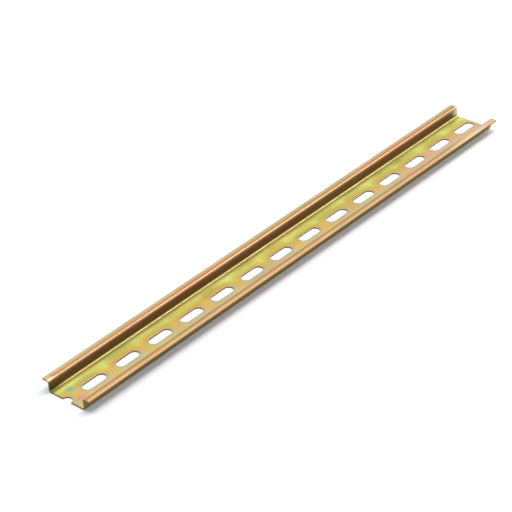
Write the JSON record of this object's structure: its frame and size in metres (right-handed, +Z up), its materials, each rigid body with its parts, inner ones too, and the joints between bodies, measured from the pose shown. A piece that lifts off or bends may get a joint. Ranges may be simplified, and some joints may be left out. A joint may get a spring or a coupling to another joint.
{
  "type": "din rail",
  "caption": "Slotted top-hat mounting rail with a flat punched base and side flanges that take clip-on devices.",
  "frame": {"origin": "middle of the underside of the base, on the surface that the rail lies on", "axes": "+X along the rail, +Y across it towards one flange, +Z up out of the channel"},
  "size_m": [0.355, 0.035, 0.0075],
  "materials": {
    "zinc_steel": "yellow passivated zinc plating"
  },
  "bodies": {
    "root": {"rail": "zinc_steel"}
  },
  "joints": []
}
